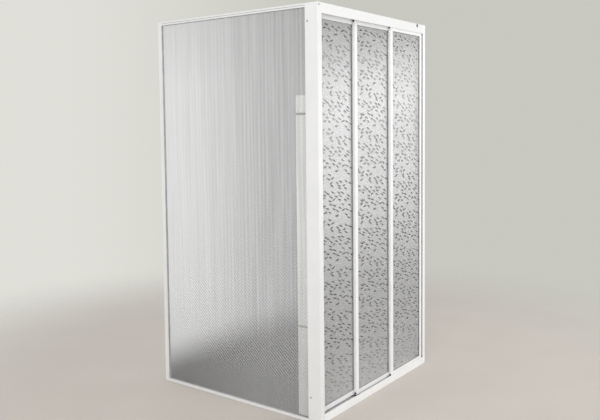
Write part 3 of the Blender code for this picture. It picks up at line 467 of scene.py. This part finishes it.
def lattice_pane():
    """The slab's outer face is a grid with a point every half cell both ways, and the points
    stand out and in by turns, like a chessboard. Its inner face is one rectangle, and four more
    faces close the edges."""
    low, high = (np.array(corner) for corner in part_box("fixed_glass"))
    columns = 2 * round((high[1] - low[1]) / FIXED_CELL_WIDTH) + 1
    rows = 2 * round((high[2] - low[2]) / FIXED_CELL_HEIGHT) + 1
    y, z = np.meshgrid(np.linspace(low[1], high[1], columns), np.linspace(low[2], high[2], rows))
    across, up = np.meshgrid(np.arange(columns), np.arange(rows))
    inner = (across > 0) & (across < columns - 1) & (up > 0) & (up < rows - 1)
    x = low[0] + FIXED_RELIEF * np.where(inner & ((across + up) % 2 == 0), 0.0, 1.0)
    front = np.stack([x, y, z], axis=-1)[:, ::-1]
    back = np.array([[[high[0], low[1], low[2]], [high[0], high[1], low[2]]],
                     [[high[0], low[1], high[2]], [high[0], high[1], high[2]]]])
    points = np.concatenate([front.reshape(-1, 3), back.reshape(-1, 3)])
    number = np.arange(rows * columns).reshape(rows, columns)
    low_near, low_far, high_near, high_far = range(rows * columns, rows * columns + 4)
    faces = grid_quads(number).tolist()
    faces.append([low_near, low_far, high_far, high_near])
    faces.append(number[0, :].tolist() + [low_near, low_far])
    faces.append(number[-1, ::-1].tolist() + [high_far, high_near])
    faces.append(number[::-1, 0].tolist() + [low_far, high_far])
    faces.append(number[:, -1].tolist() + [high_near, low_near])
    pane = new_piece("fixed_pane", points.tolist(), faces)
    smooth_under(pane, degrees=50)
    dress(pane, fixed_lattice_glass())
    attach(pane, "frame")
    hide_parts("fixed_glass")


lattice_pane()


# Sliding panels
# Hollow sections in a brighter copy of the white coat, which is painted light, glazed with a dark
# grey rubber wrap. They hang from bent hangers of bright zinc-plated steel, and black nylon guides
# plug into the stiles' feet.
DOORS = ("door_1", "door_2", "door_3")
SIDES = ("_left", "_right")
PANEL_RUBBER_COLOUR = grey(0.36)
PANEL_RUBBER_WORN_COLOUR = grey(0.26)
HANGER_COLOUR = (0.60, 0.60, 0.59, 1.0)
HANGER_STAIN_COLOUR = (0.34, 0.33, 0.31, 1.0)
BLACK_NYLON_COLOUR = (0.012, 0.012, 0.013, 1.0)
BLACK_NYLON_WORN_COLOUR = grey(0.060)

panel_rubber = extruded_rubber("panel_rubber", PANEL_RUBBER_COLOUR, PANEL_RUBBER_WORN_COLOUR)
hanger_steel = plated_steel("zinc_steel", HANGER_COLOUR, HANGER_STAIN_COLOUR)
black_nylon = satin_nylon("black_nylon", BLACK_NYLON_COLOUR, BLACK_NYLON_WORN_COLOUR)
for door in DOORS:
    dress_nodes((door + "_left_stile", door + "_right_stile", door + "_top_rail",
                 door + "_bottom_rail"), painted_light_coating)
    dress_nodes((door + "_gasket",), panel_rubber)
    dress_nodes([door + side + "_hanger" for side in SIDES], hanger_steel)
    dress_nodes([door + side + "_guide" for side in SIDES], black_nylon)


# Rollers
# Natural nylon, off-white and a little cloudy. Two carry each panel, and each turns on the
# riveted axle of its hanger.
ROLLER_COLOUR = (0.78, 0.77, 0.70, 1.0)
ROLLER_CLOUD_COLOUR = (0.62, 0.60, 0.53, 1.0)


def natural_nylon():
    """Undyed nylon with soft clouds."""
    recipe = Recipe("natural_nylon")
    point = recipe.place()
    cloud = recipe.noise(point, scale=90.0, detail=3.0)
    grain = recipe.noise(point, scale=1200.0)
    return recipe.finish(recipe.principled({
        "Base Color": recipe.tint(cloud, ROLLER_COLOUR, ROLLER_CLOUD_COLOUR),
        "Roughness": 0.45,
        "Normal": recipe.bump(grain, NYLON_GRAIN_DEPTH, 0.4),
    }))


dress_nodes([door + side + "_wheel" for door in DOORS for side in SIDES], natural_nylon())


# Panes of the sliding panels
# Obscure sheet with short raised ripples over its outer face, in a pattern that repeats up the
# sheet. Each ripple is a low ridge, with painted shade on its upper flank and a painted highlight
# on its lower one.
RIPPLE_REPEAT = 0.203
RIPPLE_COLUMNS = 7
RIPPLE_ROWS = 12
RIPPLE_SEED = 29
RIPPLE_ACROSS_JITTER = 0.42
RIPPLE_UP_JITTER = 0.35
RIPPLE_LENGTH = (0.022, 0.030)
RIPPLE_WIDTH = (0.0090, 0.0118)
RIPPLE_RISE = 0.0006
RIPPLE_ROOT = 0.0003
RIPPLE_SECTIONS = 7
RIPPLE_AROUND = 4
RIPPLE_MARGIN = 0.022
DOWNHILL_SHARE = 0.76
DOWNHILL_SLOPE = (-0.50, -0.26)
UPHILL_SLOPE = (0.05, 0.45)
TICK_SHARE = 0.35
TICK_BEND = (0.12, 0.26)
PLAIN_BEND = 0.02
KEPT_SHARE = 0.80
CROWDING_SHARE = 0.34
CREST_FOOT = -0.62
CREST_HEAD = -0.38
PANE_SETBACK = 0.0010
PANE_EDGE = 0.0006
DOOR_GLASS_ROUGHNESS = 0.17
DOOR_GLASS_COLOUR = grey(0.92)
DOOR_GLASS_CLOUD_COLOUR = grey(0.82)
DOOR_GLASS_GRAIN_COLOUR = grey(0.56)
PAINTED_SHADE_FLANK_COLOUR = grey(0.03)
PAINTED_HIGHLIGHT_FLANK_COLOUR = grey(0.99)
DOOR_GLASS_GRAIN_DEPTH = 0.0008
FAINT_FOOT_HEIGHTS = (0.08, 0.30)
SHINE_START_HEIGHTS = (0.95, 1.25)
SHINE_END_HEIGHTS = (1.60, 1.70)
NEAR_GLARE_END = (-0.30, -0.24)
NEAR_GLARE_HEIGHTS = (1.10, 1.20)
FAR_GLARE_START = (0.19, 0.21)
FAR_GLARE_SUM = (1.58, 1.66)


def door_ripple_glass():
    """The flanks' tone, carried by the mesh, paints shade or a highlight into the sheet's colour.
    It is weaker at the foot, and where the photograph's sheet shines, which is painted glare: most
    at the height of the eye, over the near part of the first panel and the far panel's upper part."""
    recipe = Recipe("ripple_glass")
    point = recipe.place()
    along = recipe.axis(point, "X")
    height = recipe.axis(point, "Z")
    tone = recipe.node("ShaderNodeAttribute", {"attribute_name": "flank"}, {}, "Fac")
    cloud = recipe.noise(recipe.scaled(point, (3.0, 3.0, 1.5)), scale=1.0)
    grain = recipe.noise(recipe.scaled(point, (40.0, 40.0, 120.0)), scale=1.0, detail=3.0)
    plain = recipe.tint(cloud, DOOR_GLASS_COLOUR, DOOR_GLASS_CLOUD_COLOUR)
    plain = recipe.tint(recipe.step(grain, 0.4, 0.8) * 0.20, plain, DOOR_GLASS_GRAIN_COLOUR)
    # Painted glare: the marks fade where the sheet shines, over the near part of the first panel
    # and the far panel's upper part.
    near_glare = ((1.0 - recipe.step(along, *NEAR_GLARE_END))
                  * recipe.step(height, *NEAR_GLARE_HEIGHTS))
    far_glare = recipe.step(along, *FAR_GLARE_START) * recipe.step(height + along, *FAR_GLARE_SUM)
    shining = (recipe.step(height, *SHINE_START_HEIGHTS)
               * (1.0 - recipe.step(height, *SHINE_END_HEIGHTS)))
    strength = ((0.25 + recipe.step(height, *FAINT_FOOT_HEIGHTS) * 0.75)
                * (1.0 - shining * (0.45 + (near_glare + far_glare) * 0.37)))
    # Painted shade on the upper flank and a painted highlight on the lower one.
    painted_shade_share = recipe.step(0.0 - tone, 0.0, 0.8) * strength
    painted_highlight_share = recipe.step(tone, 0.0, 0.8) * strength
    shade = recipe.tint(painted_shade_share, plain, PAINTED_SHADE_FLANK_COLOUR)
    shade = recipe.tint(painted_highlight_share, shade, PAINTED_HIGHLIGHT_FLANK_COLOUR)
    # More haze under the painted highlight, so that it shows.
    haze = 0.14 + painted_highlight_share * 0.60
    return obscure_glass(recipe, DOOR_GLASS_ROUGHNESS, haze, {
        "Base Color": shade,
        "Normal": recipe.bump(grain, DOOR_GLASS_GRAIN_DEPTH, 0.12),
    })


def tube_quads(sections, around):
    """The quads round a tube of sections, and one at each end. Only tubes of four points
    round have ends that are quads."""
    number = np.arange(sections * around).reshape(sections, around)
    beside = np.roll(number, -1, axis=1)
    walls = np.stack([number[:-1], number[1:], beside[1:], beside[:-1]], axis=-1)
    ends = [number[0], number[-1, ::-1]]
    return np.concatenate([walls.reshape(-1, 4), ends])


def slab_points(low, high, edge):
    """The four rectangles of a slab with small flat chamfers, from its front to its back."""
    rings = []
    for y, inset in ((low[1], edge), (low[1] + edge, 0.0), (high[1] - edge, 0.0),
                     (high[1], edge)):
        left, right = low[0] + inset, high[0] - inset
        bottom, top = low[2] + inset, high[2] - inset
        rings.append([(left, y, bottom), (right, y, bottom), (right, y, top), (left, y, top)])
    return np.array(rings)


def ripple_pattern():
    """One repeat of the pattern, as arrays with one number for each ripple: its place across as
    a share of the sheet's width, its place up as a share of the repeat, then its length, slope,
    bend and width. The ripples stand in staggered rows and are moved, turned and left out by
    chance, with fewer left out along slanting bands."""
    chance = np.random.default_rng(RIPPLE_SEED)
    count = RIPPLE_ROWS * RIPPLE_COLUMNS
    column, row = np.meshgrid(np.arange(RIPPLE_COLUMNS), np.arange(RIPPLE_ROWS))
    across = ((column + 0.25 + row % 2 * 0.5).ravel()
              + chance.uniform(-RIPPLE_ACROSS_JITTER, RIPPLE_ACROSS_JITTER, count))
    across = across / RIPPLE_COLUMNS
    up = (row.ravel() + 0.5
          + chance.uniform(-RIPPLE_UP_JITTER, RIPPLE_UP_JITTER, count)) / RIPPLE_ROWS
    length = chance.uniform(*RIPPLE_LENGTH, count)
    downhill = chance.uniform(0, 1, count) < DOWNHILL_SHARE
    slope = np.where(downhill, chance.uniform(*DOWNHILL_SLOPE, count),
                     chance.uniform(*UPHILL_SLOPE, count))
    tick = chance.uniform(0, 1, count) < TICK_SHARE
    bend = np.where(tick, chance.uniform(*TICK_BEND, count), PLAIN_BEND)
    width = chance.uniform(*RIPPLE_WIDTH, count)
    crowding = np.sin(FULL_TURN * (3 * row / RIPPLE_ROWS + column / RIPPLE_COLUMNS)).ravel()
    kept = chance.uniform(0, 1, count) < KEPT_SHARE + CROWDING_SHARE * crowding
    return [part[kept] for part in (across, up, length, slope, bend, width)]


def ripple_points(low, high):
    """Every ripple as a tube of sections with four points round, two sunk in the face and two
    on the crest, and the tone of each point. With s from -1 to 1 along it, its width goes with
    the square root of 1 - 0.96 s squared, its height with the square of that, and its line is a
    slope times s plus a bend times the size of s, so that some are ticks."""
    across, up, length, slope, bend, width = ripple_pattern()
    repeats = math.ceil((high[2] - low[2]) / RIPPLE_REPEAT)
    repeat = np.repeat(np.arange(repeats), len(up))
    x = low[0] + np.tile(across, repeats) * (high[0] - low[0])
    z = low[2] + (np.tile(up, repeats) + repeat) * RIPPLE_REPEAT
    length, slope, bend, width = (np.tile(part, repeats)
                                  for part in (length, slope, bend, width))
    inside = ((z + RIPPLE_MARGIN < high[2]) & (z - RIPPLE_MARGIN > low[2])
              & (x - length / 2 > low[0]) & (x + length / 2 < high[0]))
    x, z, length, slope, bend, width = (part[inside, None, None]
                                        for part in (x, z, length, slope, bend, width))
    s = np.linspace(-1, 1, RIPPLE_SECTIONS)[None, :, None]
    t = np.array([-1.0, CREST_FOOT, CREST_HEAD, 1.0])[None, None, :]
    crest = np.array([0.0, 1.0, 1.0, 0.0])[None, None, :]
    # Painted light of each ring: a painted highlight low on the ripple, painted shade from its
    # crest up.
    tone = np.array([0.6, 1.0, -1.0, -1.0])[None, None, :]
    swell = np.sqrt(1 - 0.96 * s ** 2)
    across_line = x + length * s / 2
    up_line = z + length * (slope * s + bend * np.abs(s)) / 2
    points_z = up_line + width * swell * t / 2
    points_x = across_line + 0 * points_z
    points_y = low[1] + RIPPLE_ROOT - (RIPPLE_ROOT + RIPPLE_RISE * swell ** 2) * crest
    points_y = points_y + 0 * points_z
    return np.stack([points_x, points_y, points_z], axis=-1), tone + 0 * points_z


def ripple_pane(door, material):
    """A slab with every ripple on its outer face, in one mesh. Only the ripples are smooth."""
    low, high = (np.array(corner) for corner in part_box(door + "_glass"))
    low[1] += PANE_SETBACK
    slab = slab_points(low, high, PANE_EDGE)
    ripples, tone = ripple_points(low, high)
    slab_count = slab.shape[0] * slab.shape[1]
    ripple_count = RIPPLE_SECTIONS * RIPPLE_AROUND
    first = slab_count + ripple_count * np.arange(len(ripples))
    slab_faces = tube_quads(*slab.shape[:2])
    ripple_faces = tube_quads(RIPPLE_SECTIONS, RIPPLE_AROUND)[None] + first[:, None, None]
    points = np.concatenate([slab.reshape(-1, 3), ripples.reshape(-1, 3)])
    faces = np.concatenate([slab_faces, ripple_faces.reshape(-1, 4)])
    pane = new_piece(door + "_pane", points.tolist(), faces.tolist())
    flank = pane.data.attributes.new("flank", "FLOAT", "POINT")
    flank.data.foreach_set("value", np.concatenate([np.zeros(slab_count), tone.ravel()]))
    smooth = np.arange(len(faces)) >= len(slab_faces)
    pane.data.polygons.foreach_set("use_smooth", smooth)
    dress(pane, material)
    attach(pane, door)
    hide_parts(door + "_glass")


ripple_glass = door_ripple_glass()
for door in DOORS:
    ripple_pane(door, ripple_glass)


# Corner screws of the sliding panels
# Black pan heads with a recess, one at each end of each stile. They are driven through the
# stile into the ends of the rails, and stand out at the panel's two sides.
CORNER_SCREW_HEIGHTS = (0.037, 1.7855)
CORNER_SCREW_RADIUS = 0.0052
CORNER_SCREW_RISE = 0.0026
CORNER_SCREW_SIDES = 20
CORNER_SCREW_PROFILE = ((0.90, 0.0), (1.0, 0.15), (0.98, 0.55), (0.80, 0.88), (0.45, 1.0),
                        (0.34, 0.98), (0.22, 0.55))


def corner_screw_points(side):
    """Rings of a pan head that stands out along X to the given side, and of the cross recess'
    round mouth. The profile gives each ring's share of the radius and of the rise."""
    turn = side * np.linspace(0, FULL_TURN, CORNER_SCREW_SIDES, endpoint=False)
    rings = [np.stack([np.full(CORNER_SCREW_SIDES, side * rise * CORNER_SCREW_RISE),
                       radius * CORNER_SCREW_RADIUS * np.cos(turn),
                       radius * CORNER_SCREW_RADIUS * np.sin(turn)], axis=-1)
             for radius, rise in CORNER_SCREW_PROFILE]
    return np.array(rings)


def corner_screws(door):
    """The panel's four screws in one mesh, each a stack of rings with a flat at both ends."""
    points = []
    faces = []
    for stile, side in (("_left_stile", -1), ("_right_stile", 1)):
        low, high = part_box(door + stile)
        seat = low[0] if side < 0 else high[0]
        for height in CORNER_SCREW_HEIGHTS:
            rings = corner_screw_points(side) + np.array([seat, (low[1] + high[1]) / 2, height])
            number = len(points) + np.arange(rings.shape[0] * rings.shape[1])
            number = number.reshape(rings.shape[:2])
            beside = np.roll(number, -1, axis=1)
            walls = np.stack([number[:-1], beside[:-1], beside[1:], number[1:]], axis=-1)
            points.extend(rings.reshape(-1, 3).tolist())
            faces.extend(walls.reshape(-1, 4).tolist())
            faces.append(number[0, ::-1].tolist())
            faces.append(number[-1].tolist())
    piece = new_piece(door + "_corner_screws", points, faces)
    smooth_under(piece, degrees=40)
    dress(piece, black_nylon)
    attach(piece, door)


for door in DOORS:
    corner_screws(door)


# Floor and backdrop
# A plain pale floor just under the screen's feet, which fades out into a plain pale backdrop, a
# little darker to the right. Through the glass neither shows, only soft bands of grey.
FLOOR_REACH = 40.0
FLOOR_SINK = 0.001
FLOOR_FADE_START = 1.3
FLOOR_FADE_END = 3.2
FLOOR_COLOUR = (0.60, 0.56, 0.51, 1.0)
FLOOR_CLOUD_COLOUR = (0.55, 0.51, 0.465, 1.0)
BACKDROP_LEFT_COLOUR = (0.74, 0.74, 0.69, 1.0)
BACKDROP_RIGHT_COLOUR = (0.58, 0.58, 0.53, 1.0)
BEYOND_LEFT_COLOUR = grey(0.80)
BEYOND_RIGHT_COLOUR = grey(0.38)
SHADOW_LEFT_COLOUR = grey(0.005)
SHADOW_RIGHT_COLOUR = grey(0.155)
SHADOW_DOORS_COLOUR = grey(0.21)
SHADOW_HIGH_COLOUR = grey(0.06)
GLOW_COLOUR = (0.99, 0.99, 1.0, 1.0)
GLOW_STRENGTH = 0.70


def pale_floor():
    """Matt, faintly clouded, gone far from the screen and for rays that cross the glass."""
    recipe = Recipe("pale_floor")
    point = recipe.place()
    x = recipe.axis(point, "X")
    y = recipe.axis(point, "Y")
    radius = (x * x + y * y) ** 0.5
    cloud = recipe.noise(point, scale=3.0, detail=3.0)
    matt = recipe.principled({
        "Base Color": recipe.tint(cloud, FLOOR_COLOUR, FLOOR_CLOUD_COLOUR),
        "Roughness": 0.85,
    })
    gone = recipe.node("ShaderNodeBsdfTransparent", {}, {})
    far = recipe.step(radius, FLOOR_FADE_START, FLOOR_FADE_END)
    fade = far.or_more(recipe.ray("Is Transmission Ray"))
    return recipe.finish(recipe.mixed(fade, matt, gone))


bpy.ops.mesh.primitive_plane_add(size=FLOOR_REACH, location=(0, 0, -FLOOR_SINK))
floor = bpy.context.object
floor.name = "floor"
dress(floor, pale_floor())


class Sky(Recipe):
    """The world's nodes, mixed like a material's."""

    def __init__(self, name):
        self.world = bpy.data.worlds.new(name)
        self.world.use_nodes = True
        self.tree = self.world.node_tree
        self.tree.nodes.clear()

    def light(self, colour, strength):
        """A plain background of one colour."""
        return self.node("ShaderNodeBackground", {}, {"Color": colour, "Strength": strength})

    def finish(self, surface):
        """Plug a shader into the world's output and light the scene with it."""
        output = self.tree.nodes.new("ShaderNodeOutputWorld")
        self.tree.links.new(surface.output, output.inputs["Surface"])
        bpy.context.scene.world = self.world


def pale_studio():
    """A pale backdrop for the rays that show it, and an even glow for all the others. Glass
    shows it brightest about the height of the eye, and darker low down, high up and to the
    right, where the sliding panes are."""
    sky = Sky("studio")
    toward = sky.node("ShaderNodeTexCoord", {}, {}, "Generated")
    to_right = sky.axis(toward, "X") - sky.axis(toward, "Y")
    rise = sky.axis(toward, "Z")
    doorward = sky.step(to_right, 0.20, 0.32)
    wall = sky.tint(sky.step(to_right, -0.25, 0.35), BACKDROP_LEFT_COLOUR, BACKDROP_RIGHT_COLOUR)
    corner = sky.step(to_right, -0.04, 0.22) * (1.0 - sky.step(to_right, 0.22, 0.34) * 0.55)
    side = sky.tint(corner, BEYOND_LEFT_COLOUR, BEYOND_RIGHT_COLOUR)
    low_beyond_pane = 1.0 - sky.step(rise - to_right * 0.20, -0.325, -0.275)
    low_beyond_doors = 1.0 - sky.step(rise, -0.22, 0.02)
    low = low_beyond_pane + (low_beyond_doors - low_beyond_pane) * doorward
    low = low * (0.45 + sky.step(rise, -0.60, -0.42) * 0.55)
    low = low * (1.0 - doorward * 0.6 * (1.0 - sky.step(rise, -0.37, -0.30)))
    high = sky.step(rise, 0.04, 0.13) * (0.15 + doorward * 0.80)
    dark = low + high - low * high
    shadow = sky.tint(sky.step(to_right, -0.06, 0.16), SHADOW_LEFT_COLOUR, SHADOW_RIGHT_COLOUR)
    shadow = sky.tint(doorward, shadow, SHADOW_DOORS_COLOUR)
    shadow = sky.tint(sky.step(rise, 0.06, 0.13) * doorward, shadow, SHADOW_HIGH_COLOUR)
    beyond = sky.light(sky.tint(dark, side, shadow), 1.0)
    seen = sky.ray("Is Camera Ray") + sky.ray("Is Glossy Ray")
    undimmed = 1.0 - sky.step(sky.ray("Diffuse Depth"), 0.0, 1.0)
    straight = sky.ray("Is Transmission Ray") * undimmed
    studio = sky.mixed(seen, sky.light(GLOW_COLOUR, GLOW_STRENGTH), sky.light(wall, 1.0))
    sky.finish(sky.mixed(straight, studio, beyond))


pale_studio()


# Studio lights
# A broad key from the right at the height of the panes, a fill from the left, a soft top, and
# two dim cards that show only as reflections: one wide, one tall beside the post.
def soft_light(name, place, aim, size, power):
    """A square area lamp that the camera and the glass don't show."""
    lamp = bpy.data.lights.new(name, "AREA")
    lamp.shape = "SQUARE"
    lamp.size = size
    lamp.energy = power
    thing = bpy.data.objects.new(name, lamp)
    bpy.context.scene.collection.objects.link(thing)
    thing.visible_camera = False
    thing.visible_transmission = False
    thing.location = place
    thing.rotation_euler = (Vector(aim) - Vector(place)).to_track_quat("-Z", "Y").to_euler()
    return thing


def mirrored_card(name, place, aim, width, height, power, lean=0.0):
    """A lamp that only shows as a reflection, leaning by some degrees about its own aim."""
    card = soft_light(name, place, aim, width, power)
    card.rotation_euler.rotate_axis("Z", math.radians(lean))
    card.data.shape = "RECTANGLE"
    card.data.size_y = height
    card.visible_diffuse = False


soft_light("key", place=(2.6, -4.2, 1.15), aim=(0.0, -0.4, 0.95), size=1.8, power=58.0)
soft_light("fill", place=(-4.2, -1.9, 2.0), aim=(-0.4, 0.0, 0.9), size=2.4, power=60.0)
soft_light("top", place=(0.0, -1.2, 4.2), aim=(0.0, -0.2, 0.0), size=2.5, power=38.0)
mirrored_card("wide_card", place=(3.2, -2.2, 1.66), aim=(0.1, -0.46, 1.45),
              width=1.2, height=0.6, power=2.5, lean=11.0)
mirrored_card("tall_card", place=(2.9, -2.65, 0.95), aim=(-0.39, -0.46, 1.25),
              width=0.6, height=1.3, power=2.2)


# Camera
# Stands where the frame's edges in the photograph meet their vanishing points, at about the
# height of the eye. The angles are in radians, and the shift frames the picture as the
# photograph is framed.
CAMERA_PLACE = (-3.0293, -2.2198, 1.3193)
CAMERA_YAW = 0.925075
CAMERA_PITCH = 0.066424
CAMERA_ROLL = -0.011463
FOCAL_PIXELS = 718.788
FRAME_WIDTH = 600
FRAME_HEIGHT = 420
AIM_PIXEL = (286.965, 170.676)
SENSOR = 36.0

ahead = Vector((math.sin(CAMERA_YAW) * math.cos(CAMERA_PITCH),
                math.cos(CAMERA_YAW) * math.cos(CAMERA_PITCH), -math.sin(CAMERA_PITCH)))
level = Vector((math.cos(CAMERA_YAW), -math.sin(CAMERA_YAW), 0.0))
upright = level.cross(ahead)
right = level * math.cos(CAMERA_ROLL) + upright * math.sin(CAMERA_ROLL)
up = upright * math.cos(CAMERA_ROLL) - level * math.sin(CAMERA_ROLL)
camera = bpy.data.cameras.new("camera")
camera.sensor_fit = "HORIZONTAL"
camera.sensor_width = SENSOR
camera.lens = FOCAL_PIXELS * SENSOR / FRAME_WIDTH
camera.shift_x = ((FRAME_WIDTH - 1) / 2 - AIM_PIXEL[0]) / FRAME_WIDTH
camera.shift_y = (AIM_PIXEL[1] - (FRAME_HEIGHT - 1) / 2) / FRAME_WIDTH
viewer = bpy.data.objects.new("camera", camera)
bpy.context.scene.collection.objects.link(viewer)
viewer.matrix_world = Matrix((
    (right[0], up[0], -ahead[0], CAMERA_PLACE[0]),
    (right[1], up[1], -ahead[1], CAMERA_PLACE[1]),
    (right[2], up[2], -ahead[2], CAMERA_PLACE[2]),
    (0.0, 0.0, 0.0, 1.0),
))
bpy.context.scene.camera = viewer
bpy.context.scene.view_settings.view_transform = "Standard"
